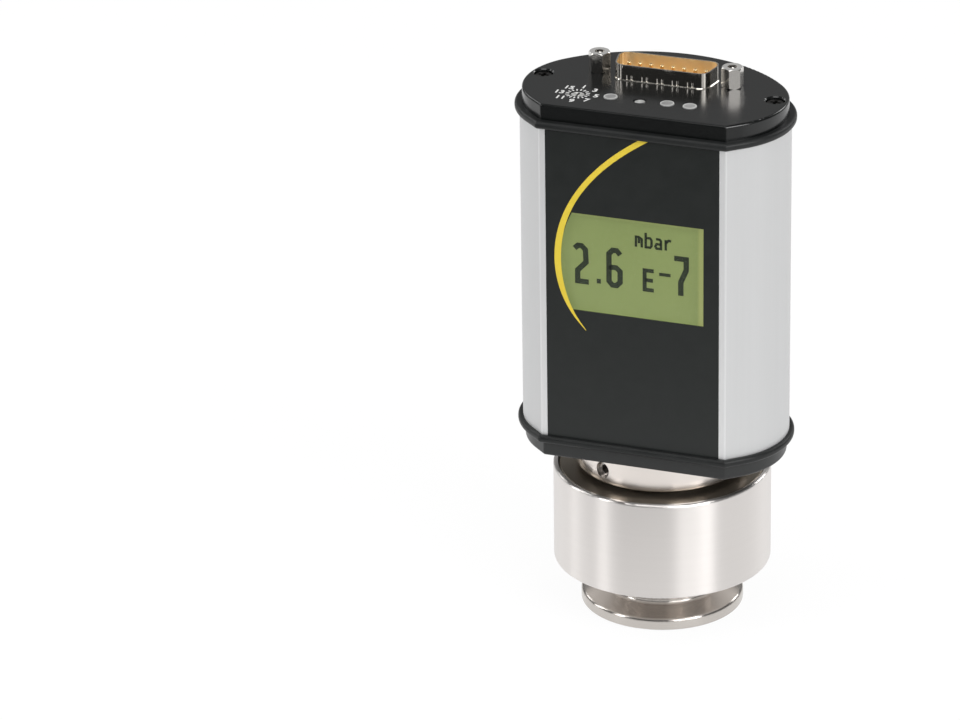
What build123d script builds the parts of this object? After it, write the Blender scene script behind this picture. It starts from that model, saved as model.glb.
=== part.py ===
from build123d import *
from math import cos, radians, sin, sqrt, tan
import os

# Vacuum sensor: a clamp flange, a magnet unit around the sensor tube, and a
# housing with a display on its flat front and a plug connector on top.
# Frame: origin at the centre of the flange's sealing face, +Z up the sensor's
# axis, the display faces -Y and +X is to the right of someone who reads it.

# Clamp flange and sensor tube
flange_od = 40.0
flange_rim = 2.8
flange_edge_radius = 0.9
flange_cone_angle = 15.0
centring_recess_d = 26.2
centring_recess_depth = 3.0
neck_od = 28.0
tube_step = 0.5
inlet_bore = 22.0
inlet_depth = 9.0
chamber_step = 0.6
header_ledge = 0.4
tube_top_gap = 2.0
set_groove_depth = 0.6

# Magnet unit
magnet_base_z = 12.0
magnet_od = 53.4
magnet_height = 25.0
magnet_lip_radius = 0.6
can_wall = 1.1
can_floor = 1.6
magnet_play = 0.15
magnet_ring_height = 10.0
magnet_bore_play = 1.2
pole_plate_thickness = 3.0
pole_plate_gap = 0.35
snap_ring_thickness = 1.0
snap_ring_width = 2.4
snap_groove_depth = 0.6
snap_ring_gap = 5.0
slide_play = 0.05

# Clamp collar between sensor tube and housing
collar_gap = 1.0
collar_height = 6.5
spigot_od = 35.6
collar_screw_d = 2.5
collar_screw_margin = 0.35
collar_edge = 0.45
collar_screw_length = 6.0
collar_screw_angle = 22.0
set_screw_d = 4.0
set_screw_angle = -115.0
set_screw_hex = 2.2
set_screw_sink = 1.0

# Housing outline: a flat front, two side arcs and a wide back arc
housing_front = 22.6
housing_back = 20.8
back_radius = 37.6
side_radius = 19.7
arc_join_angle = 48.4
corner_angle = 42.0
corner_radius = 0.7
body_length = 80.0
body_wall = 1.8
front_wall = 2.0
cap_height = 3.9
cap_plate = 2.0
cap_inset = 0.6
cap_edge_radius = 0.6
cap_skirt = 1.5
cap_skirt_depth = 3.0
cap_play = 0.25
gasket_height = 1.9
gasket_bulge = 1.2
gasket_round = 0.8
case_screw_x = 29.0
case_screw_y = -2.4
case_screw_d = 3.0
case_screw_length = 14.0
case_head_d = 4.3
case_head_height = 1.6
case_head_sink = 0.6
case_head_round = 0.3
case_recess_bevel = 0.3
case_boss_wall = 1.75
thread_play = 0.05
hole_play = 0.15

# Film, window and display
film_thickness = 0.3
film_width = 43.4
window_right = 17.8
window_left = -15.1
window_bulge = 3.1
window_low = 34.1
window_high = 59.3
pane_margin = 0.6
pane_thickness = 1.4
cell_margin = 1.8
cell_thickness = 2.0
backlight_thickness = 3.0

# Boards, counted from the flat front
board_thickness = 1.6
board_edge_play = 0.4
board_end_gap = 9.0
rib_thickness = 1.2
rib_reach = 2.6
rib_play = 0.1
rear_board_offset = 27.0
module_width = 34.0
module_depth = 14.5
module_gap = 10.0
relay_width = 15.0
relay_depth = 9.6
relay_height = 12.0
relay_pitch = 20.0
relay_gap = 2.5
relay_link_gap = 2.1
link_height = 7.0
link_width = 26.0
link_depth = 5.0

# Plug connector with fifteen pins in two rows
connector_y = 3.0
shell_width = 26.05
shell_depth = 9.0
shell_side_angle = 80.0
shell_corner = 2.6
shell_wall = 0.4
shell_height = 5.9
shell_bead = 0.25
plug_flange_reach = 2.9
plug_flange_depth = 12.5
plug_flange_thickness = 0.8
dimple_count = 5
dimple_pitch = 3.8
dimple_radius = 1.4
dimple_height = 3.2
dimple_rise = 1.4
dimple_depth = 0.25
insulator_face = 0.5
insulator_play = 0.05
pin_d = 1.0
pin_pitch = 2.77
row_pitch = 2.84
front_row_pins = 7
pin_tip_drop = 1.2
jack_reach = 3.625
jack_hex = 4.75
jack_height = 5.0
jack_thread_d = 2.84
jack_bore_d = 2.3
jack_thread_depth = 4.2
jack_stud_length = 5.0
jack_bevel = 0.35
jack_turn_left = 3.0
jack_turn_right = 31.0
jack_nut_height = 2.0

# Controls and lights in a row in front of the connector
control_y = -12.6
address_x = -16.7
address_y = -13.0
rotor_d = 3.3
rotor_sink = 0.2
rotor_slot_width = 0.6
rotor_slot_depth = 0.6
rotor_pointer_d = 0.7
address_body = 7.4
address_body_height = 4.0
address_pocket = 2.0
running_play = 0.05
window_play = 0.25
status_x = -8.6
adjust_x = -1.3
setpoint_1_x = 5.5
setpoint_2_x = 11.1
light_d = 3.4
light_lip = 0.7
light_lip_height = 0.8
light_rise = 0.2
light_round = 0.15
led_width = 3.0
led_depth = 1.6
led_height = 1.1
button_d = 3.0
button_sink = 0.25
button_travel = 0.25
tact_body = 6.0
tact_height = 3.5
tact_pocket = 1.6
board_drop = 5.6

# Vacuum side of the sensor
header_thickness = 2.0
header_z = 38.0
anode_rod_d = 1.0
anode_ring_d = 13.0
anode_ring_height = 12.0
anode_sheet = 0.5
anode_low_z = 16.0
anode_vent_d = 2.4
ceramic_d = 5.2
ceramic_collar = 1.4
ceramic_length = 9.0
baffle_thickness = 0.8
baffle_hole_d = 2.0
baffle_hole_count = 12
baffle_hole_circle = 17.0
baffle_centre_d = 7.0
filament_offset = 9.2
filament_tube_d = 4.2
filament_tube_wall = 0.3
filament_tube_length = 16.0
filament_wire_d = 0.2
filament_pin_d = 0.8
seal_d = 2.0
pin_rise = 4.0
socket_d = 21.0
socket_height = 8.0
socket_play = 0.1
sensor_board_depth = 24.0
post_d = 5.0
post_clearance = 0.2
board_overhang = 1.5
post_y = -2.0

# Heights that follow from the sizes above
magnet_top = magnet_base_z + magnet_height
collar_z = magnet_top + collar_gap
lower_cap_z = collar_z + collar_height
lower_gasket_z = lower_cap_z + cap_height
body_z = lower_gasket_z + gasket_height
body_top = body_z + body_length
upper_cap_z = body_top + gasket_height
top_z = upper_cap_z + cap_height
board_top = top_z - cap_plate - board_drop
tube_top = lower_cap_z + tube_top_gap
pin_top = tube_top + pin_rise
floor_top = lower_cap_z + cap_plate
set_screw_z = collar_z + collar_height / 2

# Radii, widths and places that follow
collar_screw_circle = spigot_od + collar_screw_d + 2 * collar_screw_margin
collar_od = collar_screw_circle + collar_screw_d + 2 * collar_edge
post_x = spigot_od / 2 + post_clearance + post_d / 2
sensor_board_width = 2 * (post_x + board_overhang)
jack_spacing = shell_width + 2 * jack_reach
plug_flange_width = jack_spacing + 2 * plug_flange_reach
neck_r = neck_od / 2
tube_r = neck_r - tube_step
chamber_r = inlet_bore / 2 + chamber_step
header_r = chamber_r + header_ledge
can_inner_r = magnet_od / 2 - can_wall
ring_outer_r = can_inner_r - magnet_play
ring_inner_r = tube_r + magnet_bore_play
cell_front_y = front_wall - housing_front
main_board_y = cell_front_y + cell_thickness + backlight_thickness
rear_board_y = main_board_y + rear_board_offset - cell_thickness - backlight_thickness
boss_r = case_screw_d / 2 + case_boss_wall
shell_top = top_z - cap_plate + shell_height
plug_flange_z = top_z - cap_plate - plug_flange_thickness
sensor_board_z = tube_top + socket_height
window_z0 = body_z + window_low
window_z1 = body_z + window_high

os.makedirs("parts", exist_ok=True)


def housing_side(grow):
    """Corner of the outline and the tangent, widest and join points of its side arc."""
    reach = back_radius - side_radius
    turn = radians(arc_join_angle)
    centre_x = reach * sin(turn)
    centre_y = housing_back - back_radius + reach * cos(turn)
    radius = side_radius + grow
    front = -housing_front - grow
    lean = radians(corner_angle)
    tangent = (centre_x + radius * sin(lean), centre_y - radius * cos(lean))
    corner = (tangent[0] - (tangent[1] - front) / tan(lean), front)
    widest = (centre_x + radius, centre_y)
    join = (centre_x + radius * sin(turn), centre_y + radius * cos(turn))
    return corner, tangent, widest, join


def mirrored(point):
    """The same point on the left side."""
    return (-point[0], point[1])


def housing_outline(grow):
    """Cross-section of the housing, grown outward by grow."""
    corner, tangent, widest, join = housing_side(grow)
    with BuildSketch() as outline:
        with BuildLine():
            Line(mirrored(corner), corner)
            Line(corner, tangent)
            ThreePointArc(tangent, widest, join)
            ThreePointArc(join, (0, housing_back + grow), mirrored(join))
            ThreePointArc(mirrored(join), mirrored(widest), mirrored(tangent))
            Line(mirrored(tangent), mirrored(corner))
        make_face()
        fillet(outline.vertices().group_by(Axis.Y)[0], corner_radius)
    return outline.sketch


def half_width_inside(y):
    """Half the clear width between the side walls of the extrusion at depth y."""
    reach = back_radius - side_radius
    centre_x = reach * sin(radians(arc_join_angle))
    centre_y = housing_back - back_radius + reach * cos(radians(arc_join_angle))
    return centre_x + sqrt((side_radius - body_wall) ** 2 - (y - centre_y) ** 2)


def plug_outline(grow):
    """The connector's D-shaped outline, wide side to the back."""
    with BuildSketch() as outline:
        Trapezoid(shell_width + 2 * grow, shell_depth + 2 * grow, shell_side_angle, rotation=180)
        fillet(outline.vertices(), shell_corner + grow)
    return outline.sketch


case_screw_places = [(-case_screw_x, case_screw_y), (case_screw_x, case_screw_y)]
collar_screw_x = collar_screw_circle / 2 * cos(radians(collar_screw_angle))
collar_screw_y = collar_screw_circle / 2 * sin(radians(collar_screw_angle))
collar_screw_places = [
    (side_x * collar_screw_x, side_y * collar_screw_y)
    for side_x, side_y in ((1, 1), (-1, 1), (-1, -1), (1, -1))
]
jack_places = [(-jack_spacing / 2, connector_y), (jack_spacing / 2, connector_y)]
light_places = {
    "status_light_pipe": status_x,
    "setpoint_light_pipe_1": setpoint_1_x,
    "setpoint_light_pipe_2": setpoint_2_x,
}
filament_pin_places = [
    (filament_offset, -seal_d * 0.6),
    (filament_offset, seal_d * 0.6),
]

# Clamp flange, neck and sensor tube, turned from one bar
cone_top = flange_rim + (flange_od / 2 - neck_r) * tan(radians(flange_cone_angle))
groove_top = magnet_base_z + can_floor + 2 * magnet_ring_height + pole_plate_thickness
with BuildPart() as clamp_flange_tube:
    with BuildSketch(Plane.XZ):
        with BuildLine():
            Polyline(
                (inlet_bore / 2, centring_recess_depth),
                (centring_recess_d / 2, centring_recess_depth),
                (centring_recess_d / 2, 0),
                (flange_od / 2, 0),
                (flange_od / 2, flange_rim),
                (neck_r, cone_top),
                (neck_r, magnet_base_z),
                (tube_r, magnet_base_z),
                (tube_r, tube_top),
                (header_r, tube_top),
                (header_r, header_z),
                (chamber_r, header_z),
                (chamber_r, inlet_depth),
                (inlet_bore / 2, inlet_depth),
                close=True,
            )
        make_face()
    revolve(axis=Axis.Z)
    with BuildSketch(Plane.XY.offset(groove_top)):
        Circle(tube_r)
        Circle(tube_r - snap_groove_depth, mode=Mode.SUBTRACT)
    extrude(amount=snap_ring_thickness, mode=Mode.SUBTRACT)
    with BuildSketch(Plane.XZ):
        with BuildLine():
            Polyline(
                (tube_r, set_screw_z - set_groove_depth),
                (tube_r - set_groove_depth, set_screw_z),
                (tube_r, set_screw_z + set_groove_depth),
                close=True,
            )
        make_face()
    revolve(axis=Axis.Z, mode=Mode.SUBTRACT)
    for rim_z, rounding in ((0, 0.3), (flange_rim, flange_edge_radius)):
        fillet(clamp_flange_tube.edges().filter_by(
            lambda e: e.geom_type == GeomType.CIRCLE
            and abs(e.radius - flange_od / 2) < 0.01
            and abs(e.center().Z - rim_z) < 0.01), rounding)
    fillet(clamp_flange_tube.edges().filter_by(
        lambda e: e.geom_type == GeomType.CIRCLE
        and abs(e.radius - neck_r) < 0.01
        and abs(e.center().Z - cone_top) < 0.01), 1.0)
clamp_flange_tube.part.label = "clamp_flange_tube"
export_step(clamp_flange_tube.part, "parts/clamp_flange_tube.step")

# Magnet can: a soft iron cup around the tube, open upward, rounded lip
with BuildPart() as magnet_can:
    with BuildSketch(Plane.XZ):
        with BuildLine():
            Polyline(
                (tube_r + slide_play, magnet_base_z),
                (magnet_od / 2, magnet_base_z),
                (magnet_od / 2, magnet_top),
                (can_inner_r, magnet_top),
                (can_inner_r, magnet_base_z + can_floor),
                (tube_r + slide_play, magnet_base_z + can_floor),
                close=True,
            )
        make_face()
    revolve(axis=Axis.Z)
    for edge_z, rounding in ((magnet_base_z, 0.3), (magnet_top, magnet_lip_radius)):
        fillet(magnet_can.edges().filter_by(
            lambda e: e.geom_type == GeomType.CIRCLE
            and abs(e.radius - magnet_od / 2) < 0.01
            and abs(e.center().Z - edge_z) < 0.01), rounding)
magnet_can.part.label = "magnet_can"
export_step(magnet_can.part, "parts/magnet_can.step")

# Two ring magnets stacked in the can
for index, name in enumerate(["magnet_ring_lower", "magnet_ring_upper"]):
    ring_z = magnet_base_z + can_floor + index * magnet_ring_height
    with BuildPart() as magnet_ring:
        with BuildSketch(Plane.XY.offset(ring_z)):
            Circle(ring_outer_r)
            Circle(ring_inner_r, mode=Mode.SUBTRACT)
        extrude(amount=magnet_ring_height)
        chamfer(magnet_ring.edges().filter_by(GeomType.CIRCLE), 0.4)
    magnet_ring.part.label = name
    export_step(magnet_ring.part, f"parts/{name}.step")

# Pole plate that closes the magnet unit, seen as the dark ring inside the lip
pole_plate_z = magnet_base_z + can_floor + 2 * magnet_ring_height
with BuildPart() as pole_plate:
    with BuildSketch(Plane.XY.offset(pole_plate_z)):
        Circle(can_inner_r - pole_plate_gap)
        Circle(tube_r + slide_play, mode=Mode.SUBTRACT)
    extrude(amount=pole_plate_thickness)
    chamfer(pole_plate.edges().group_by(Axis.Z)[-1].sort_by(SortBy.RADIUS)[-1], 0.3)
pole_plate.part.label = "pole_plate"
export_step(pole_plate.part, "parts/pole_plate.step")

# Snap ring that keeps the magnet unit on the tube
with BuildPart() as snap_ring:
    with BuildSketch(Plane.XY.offset(groove_top)):
        Circle(tube_r - snap_groove_depth + snap_ring_width)
        Circle(tube_r - snap_groove_depth, mode=Mode.SUBTRACT)
        with Locations((0, tube_r)):
            Rectangle(snap_ring_gap, 2 * snap_ring_width + 2, mode=Mode.SUBTRACT)
    extrude(amount=snap_ring_thickness)
snap_ring.part.label = "snap_ring"
export_step(snap_ring.part, "parts/snap_ring.step")

# Clamp collar with a spigot into the lower cap, screw holes and a set screw hole
set_screw_plane = Plane(
    origin=(0, 0, set_screw_z),
    x_dir=(0, 0, 1),
    z_dir=(cos(radians(set_screw_angle)), sin(radians(set_screw_angle)), 0),
)
with BuildPart() as clamp_collar:
    with BuildSketch(Plane.XY.offset(collar_z)):
        Circle(collar_od / 2)
    extrude(amount=collar_height)
    fillet(clamp_collar.edges().group_by(Axis.Z)[0], 0.3)
    with BuildSketch(Plane.XY.offset(lower_cap_z)):
        Circle(spigot_od / 2)
    extrude(amount=cap_plate)
    with BuildSketch(Plane.XY.offset(collar_z)):
        Circle(tube_r + slide_play)
    extrude(amount=collar_height + cap_plate, mode=Mode.SUBTRACT)
    with BuildSketch(Plane.XY.offset(lower_cap_z)):
        with Locations(*collar_screw_places):
            Circle(collar_screw_d / 2 + thread_play)
    extrude(amount=-(collar_screw_length - cap_plate), mode=Mode.SUBTRACT)
    with BuildSketch(set_screw_plane):
        Circle(set_screw_d / 2 + thread_play)
    extrude(amount=collar_od, mode=Mode.SUBTRACT)
clamp_collar.part.label = "clamp_collar"
export_step(clamp_collar.part, "parts/clamp_collar.step")

# Set screw: pointed end in the tube's groove, hexagon socket outside
set_screw_inner = tube_r - set_groove_depth / 2
set_screw_outer = sqrt((collar_od / 2) ** 2 - (set_screw_d / 2) ** 2) - set_screw_sink
with BuildPart() as collar_set_screw:
    with BuildSketch(set_screw_plane.offset(tube_r + slide_play)):
        Circle(set_screw_d / 2)
    extrude(amount=set_screw_outer - tube_r - slide_play)
    with BuildSketch(set_screw_plane.offset(tube_r + slide_play)):
        Circle(set_groove_depth / 2)
    extrude(amount=set_screw_inner - tube_r - slide_play)
    with BuildSketch(set_screw_plane.offset(set_screw_outer)):
        RegularPolygon(set_screw_hex / 2, 6, major_radius=False)
    extrude(amount=-set_screw_hex, mode=Mode.SUBTRACT)
collar_set_screw.part.label = "collar_set_screw"
export_step(collar_set_screw.part, "parts/collar_set_screw.step")


def rail_section(play):
    """Board slots and screw channels on the inside of the wall, grown by play."""
    with BuildSketch() as rails:
        for board_y in (main_board_y, rear_board_y):
            rail_x = half_width_inside(board_y + board_thickness / 2) - rib_reach / 2
            for rail_y in (
                board_y - rib_play - rib_thickness / 2,
                board_y + board_thickness + rib_play + rib_thickness / 2,
            ):
                with Locations((-rail_x, rail_y), (rail_x, rail_y)):
                    Rectangle(rib_reach + 2 * body_wall + 2 * play, rib_thickness + 2 * play)
        with Locations(*case_screw_places):
            Circle(boss_r + play)
    return rails.sketch


def end_cap(outer_z, inward):
    """Plate, rim wall, skirt and screw bosses of a cap; inward is +1 or -1 along Z."""
    rim_z = outer_z + inward * cap_height
    skirt_grow = -body_wall - cap_play
    with BuildPart() as cap:
        with BuildSketch(Plane.XY.offset(outer_z)):
            add(housing_outline(-cap_inset))
        extrude(amount=inward * cap_height)
        outer_edges = cap.edges().group_by(Axis.Z)[-1 if inward < 0 else 0]
        fillet(outer_edges, cap_edge_radius)
        with BuildSketch(Plane.XY.offset(rim_z)):
            add(housing_outline(skirt_grow))
        extrude(amount=inward * (gasket_height + cap_skirt_depth))
        with BuildSketch(Plane.XY.offset(outer_z + inward * cap_plate)):
            add(housing_outline(skirt_grow - cap_skirt))
            with Locations(*case_screw_places):
                Circle(boss_r + cap_play, mode=Mode.SUBTRACT)
        extrude(amount=inward * (cap_height + gasket_height + cap_skirt_depth), mode=Mode.SUBTRACT)
        with BuildSketch(Plane.XY.offset(rim_z)):
            add(rail_section(cap_play))
        extrude(amount=inward * (gasket_height + cap_skirt_depth), mode=Mode.SUBTRACT)
        with BuildSketch(Plane.XY.offset(outer_z)):
            with Locations(*case_screw_places):
                Circle(case_screw_d / 2 + hole_play)
        extrude(amount=inward * cap_height, mode=Mode.SUBTRACT)
        with BuildSketch(Plane.XY.offset(outer_z)):
            with Locations(*case_screw_places):
                Circle(case_head_d / 2 + hole_play)
        extrude(amount=inward * (case_head_height + case_head_sink), mode=Mode.SUBTRACT)
        chamfer(cap.edges().filter_by(
            lambda e: e.geom_type == GeomType.CIRCLE
            and abs(e.radius - case_head_d / 2 - hole_play) < 0.01
            and abs(e.center().Z - outer_z) < 0.01), case_recess_bevel)
    return cap.part


# Lower cap: satin moulding with the collar's opening and two posts for a board
with BuildPart() as lower_cap:
    add(end_cap(lower_cap_z, 1))
    with BuildSketch(Plane.XY.offset(floor_top)):
        with Locations((-post_x, post_y), (post_x, post_y)):
            Circle(post_d / 2)
    extrude(amount=sensor_board_z - floor_top)
    with BuildSketch(Plane.XY.offset(lower_cap_z)):
        Circle(spigot_od / 2 + hole_play)
        with Locations(*collar_screw_places):
            Circle(collar_screw_d / 2 + thread_play)
    extrude(amount=cap_plate, mode=Mode.SUBTRACT)
lower_cap.part.label = "lower_cap"
export_step(lower_cap.part, "parts/lower_cap.step")

# Upper cap: glossy moulding with openings for the connector and the controls
with BuildPart() as upper_cap:
    add(end_cap(top_z, -1))
    with BuildSketch(Plane.XY.offset(top_z)):
        with Locations((0, connector_y)):
            add(plug_outline(hole_play))
        with Locations(*jack_places):
            Circle(jack_thread_d / 2 + hole_play)
        with Locations((address_x, address_y)):
            Circle(rotor_d / 2 + window_play / 2)
        with Locations((adjust_x, control_y)):
            Circle(button_d / 2 + window_play / 2)
        with Locations(*[(x, control_y) for x in light_places.values()]):
            Circle(light_d / 2 + thread_play)
    extrude(amount=-cap_plate, mode=Mode.SUBTRACT)
upper_cap.part.label = "upper_cap"
export_step(upper_cap.part, "parts/upper_cap.step")

# Case gaskets: a flat web between cap and extrusion with a rounded bumper bead
for name, gasket_z in (("lower_gasket", lower_gasket_z), ("upper_gasket", body_top)):
    with BuildPart() as gasket:
        with BuildSketch(Plane.XY.offset(gasket_z)):
            add(housing_outline(gasket_bulge))
        extrude(amount=gasket_height)
        fillet(gasket.edges().filter_by(Plane.XY), gasket_round)
        with BuildSketch(Plane.XY.offset(gasket_z)):
            add(housing_outline(-body_wall))
            with Locations(*case_screw_places):
                Circle(boss_r, mode=Mode.SUBTRACT)
        extrude(amount=gasket_height, mode=Mode.SUBTRACT)
        with BuildSketch(Plane.XY.offset(gasket_z)):
            with Locations(*case_screw_places):
                Circle(case_screw_d / 2 + hole_play)
        extrude(amount=gasket_height, mode=Mode.SUBTRACT)
    gasket.part.label = name
    export_step(gasket.part, f"parts/{name}.step")

# Extruded body: tube with screw channels, board slots, film recess and window
film_half = film_width / 2


def hollow_section():
    """The extrusion's hollow: the outline less its wall, which is thicker in front."""
    with BuildSketch() as hollow:
        add(housing_outline(-body_wall))
        with Locations((0, -housing_front)):
            Rectangle(4 * film_half, 2 * front_wall, mode=Mode.SUBTRACT)
    return hollow.sketch


with BuildPart() as body_extrusion:
    with BuildSketch(Plane.XY.offset(body_z)):
        add(housing_outline(0))
        add(hollow_section(), mode=Mode.SUBTRACT)
        add(rail_section(0))
        add(housing_outline(0), mode=Mode.INTERSECT)
        with Locations(*case_screw_places):
            Circle(case_screw_d / 2 + thread_play, mode=Mode.SUBTRACT)
    extrude(amount=body_length)
    with BuildSketch(Plane.XZ.offset(housing_front)):
        with Locations((0, body_z + body_length / 2)):
            Rectangle(2 * film_half, body_length)
    extrude(amount=-film_thickness, mode=Mode.SUBTRACT)
    with BuildSketch(Plane.XZ.offset(housing_front)):
        with Locations(((window_right + window_left - window_bulge) / 2,
                        (window_z0 + window_z1) / 2)):
            Rectangle(window_right - window_left + window_bulge + 2 * pane_margin,
                      window_z1 - window_z0 + 2 * pane_margin)
    extrude(amount=-front_wall, mode=Mode.SUBTRACT)
body_extrusion.part.label = "body_extrusion"
export_step(body_extrusion.part, "parts/body_extrusion.step")

# Front film with the display window, its left side a shallow arc
window_mid = (window_z0 + window_z1) / 2
with BuildPart() as front_film:
    with BuildSketch(Plane.XZ.offset(housing_front)):
        with Locations((0, body_z + body_length / 2)):
            Rectangle(2 * film_half - 2 * thread_play, body_length)
        with BuildLine():
            Polyline(
                (window_left, window_z1),
                (window_right, window_z1),
                (window_right, window_z0),
                (window_left, window_z0),
            )
            ThreePointArc(
                (window_left, window_z0),
                (window_left - window_bulge, window_mid),
                (window_left, window_z1),
            )
        make_face(mode=Mode.SUBTRACT)
    extrude(amount=-film_thickness)
front_film.part.label = "front_film"
export_step(front_film.part, "parts/front_film.step")

# Clear pane in the extrusion's window, behind the film
pane_x0 = window_left - window_bulge - pane_margin + hole_play
pane_x1 = window_right + pane_margin - hole_play
pane_z0 = window_z0 - pane_margin + hole_play
pane_z1 = window_z1 + pane_margin - hole_play
with BuildPart() as display_pane:
    with BuildSketch(Plane.XZ.offset(housing_front - film_thickness)):
        with Locations(((pane_x0 + pane_x1) / 2, (pane_z0 + pane_z1) / 2)):
            Rectangle(pane_x1 - pane_x0, pane_z1 - pane_z0)
    extrude(amount=-pane_thickness)
display_pane.part.label = "display_pane"
export_step(display_pane.part, "parts/display_pane.step")

# Display cell and its backlight, stacked on the main board
for name, stack_y, stack_depth in (
    ("display_cell", cell_front_y, cell_thickness),
    ("backlight", cell_front_y + cell_thickness, backlight_thickness),
):
    with BuildPart() as display_layer:
        with BuildSketch(Plane.XZ.offset(-stack_y)):
            with Locations(((pane_x0 + pane_x1) / 2, (pane_z0 + pane_z1) / 2)):
                Rectangle(pane_x1 - pane_x0 + 2 * cell_margin,
                          pane_z1 - pane_z0 + 2 * cell_margin)
        extrude(amount=-stack_depth)
    display_layer.part.label = name
    export_step(display_layer.part, f"parts/{name}.step")

# Main board behind the display and power board at the rear, slid into their slots
board_low = body_z + board_end_gap
board_high = board_top - board_thickness
for name, board_y in (("main_board", main_board_y), ("power_board", rear_board_y)):
    board_half = half_width_inside(board_y + board_thickness) - board_edge_play
    board_half = min(board_half, half_width_inside(board_y) - board_edge_play)
    with BuildPart() as upright_board:
        with BuildSketch(Plane.XZ.offset(-board_y)):
            with Locations((0, (board_low + board_high) / 2)):
                Rectangle(2 * board_half, board_high - board_low)
        extrude(amount=-board_thickness)
    upright_board.part.label = name
    export_step(upright_board.part, f"parts/{name}.step")

# High voltage module on the power board, below the relays
relay_z = board_high - link_height - relay_link_gap - relay_height
module_z = board_low + module_gap
module_height = relay_z - relay_gap - module_z
with BuildPart() as voltage_module:
    with BuildSketch(Plane.XZ.offset(-rear_board_y)):
        with Locations((0, module_z + module_height / 2)):
            Rectangle(module_width, module_height)
    extrude(amount=module_depth)
    fillet(voltage_module.edges().filter_by(Axis.Y), 1.0)
voltage_module.part.label = "voltage_module"
export_step(voltage_module.part, "parts/voltage_module.step")

# Two switching relays on the back of the main board
for name, relay_x in (("relay_1", -relay_pitch / 2), ("relay_2", relay_pitch / 2)):
    with BuildPart() as relay:
        with BuildSketch(Plane.XZ.offset(-main_board_y - board_thickness)):
            with Locations((relay_x, relay_z + relay_height / 2)):
                Rectangle(relay_width, relay_height)
        extrude(amount=-relay_depth)
        chamfer(relay.edges().group_by(Axis.Y)[-1], 0.5)
    relay.part.label = name
    export_step(relay.part, f"parts/{name}.step")

# Board links: upright boards to the connector board above and the sensor board below
for name, link_z in (
    ("upper_board_link", board_high - link_height),
    ("lower_board_link", sensor_board_z + board_thickness),
):
    with BuildPart() as board_link:
        with BuildSketch(Plane.XZ.offset(-main_board_y - board_thickness)):
            with Locations((0, link_z + link_height / 2)):
                Rectangle(link_width, link_height)
        extrude(amount=-link_depth)
    board_link.part.label = name
    export_step(board_link.part, f"parts/{name}.step")

# Connector board, hung from the plug connector under the upper cap
with BuildPart() as connector_board:
    with BuildSketch(Plane.XY.offset(board_high)):
        add(housing_outline(-body_wall - cap_play - cap_skirt - board_edge_play))
        add(rail_section(board_edge_play), mode=Mode.SUBTRACT)
    extrude(amount=board_thickness)
connector_board.part.label = "connector_board"
export_step(connector_board.part, "parts/connector_board.step")

# Connector shell: drawn steel with a mounting flange and pressed earthing dimples
with BuildPart() as connector_shell:
    with BuildSketch(Plane.XY.offset(plug_flange_z)):
        with Locations((0, connector_y)):
            RectangleRounded(plug_flange_width, plug_flange_depth, 1.5)
        with Locations(*jack_places):
            Circle(jack_thread_d / 2 + hole_play, mode=Mode.SUBTRACT)
    extrude(amount=plug_flange_thickness)
    with BuildSketch(Plane.XY.offset(plug_flange_z)):
        with Locations((0, connector_y)):
            add(plug_outline(0))
    extrude(amount=shell_top - plug_flange_z)
    with BuildSketch(Plane.XY.offset(plug_flange_z)):
        with Locations((0, connector_y)):
            add(plug_outline(-shell_wall))
    extrude(amount=shell_top - plug_flange_z, mode=Mode.SUBTRACT)
    dimple_y = shell_depth / 2 - dimple_depth + dimple_radius
    with BuildSketch(Plane.XY.offset(top_z + dimple_rise)):
        with Locations((0, connector_y)):
            with GridLocations(dimple_pitch, 2 * dimple_y, dimple_count, 2):
                Circle(dimple_radius)
    extrude(amount=-dimple_height, mode=Mode.SUBTRACT)
    with BuildSketch(Plane.XY.offset(top_z)):
        with Locations((0, connector_y)):
            add(plug_outline(shell_bead))
            add(plug_outline(-shell_wall / 2), mode=Mode.SUBTRACT)
    extrude(amount=shell_bead)
    chamfer(connector_shell.edges().filter_by(
        lambda e: abs(e.center().Z - top_z - shell_bead) < 0.01
        and e.bounding_box().size.Z < 0.01
        and (abs(abs(e.center().Y - connector_y) - shell_depth / 2 - shell_bead) < 0.05)),
        shell_bead * 0.8)
connector_shell.part.label = "connector_shell"
export_step(connector_shell.part, "parts/connector_shell.step")

# Insulator: moulded block on the board with a D-shaped nose inside the shell
insulator_top = plug_flange_z + plug_flange_thickness + insulator_face
front_row_x = [pin_pitch * (i - (front_row_pins - 1) / 2) for i in range(front_row_pins)]
rear_row_x = [pin_pitch * (i - front_row_pins / 2) for i in range(front_row_pins + 1)]
pin_places = [(x, connector_y - row_pitch / 2) for x in front_row_x]
pin_places += [(x, connector_y + row_pitch / 2) for x in rear_row_x]
with BuildPart() as connector_insulator:
    with BuildSketch(Plane.XY.offset(board_top)):
        with Locations((0, connector_y)):
            Rectangle(shell_width + 1.2, shell_depth + 1.8)
    extrude(amount=plug_flange_z - board_top)
    with BuildSketch(Plane.XY.offset(plug_flange_z)):
        with Locations((0, connector_y)):
            add(plug_outline(-shell_wall - insulator_play))
    extrude(amount=insulator_top - plug_flange_z)
    with BuildSketch(Plane.XY.offset(board_top)):
        with Locations(*pin_places):
            Circle(pin_d / 2)
    extrude(amount=insulator_top - board_top, mode=Mode.SUBTRACT)
connector_insulator.part.label = "connector_insulator"
export_step(connector_insulator.part, "parts/connector_insulator.step")

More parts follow.
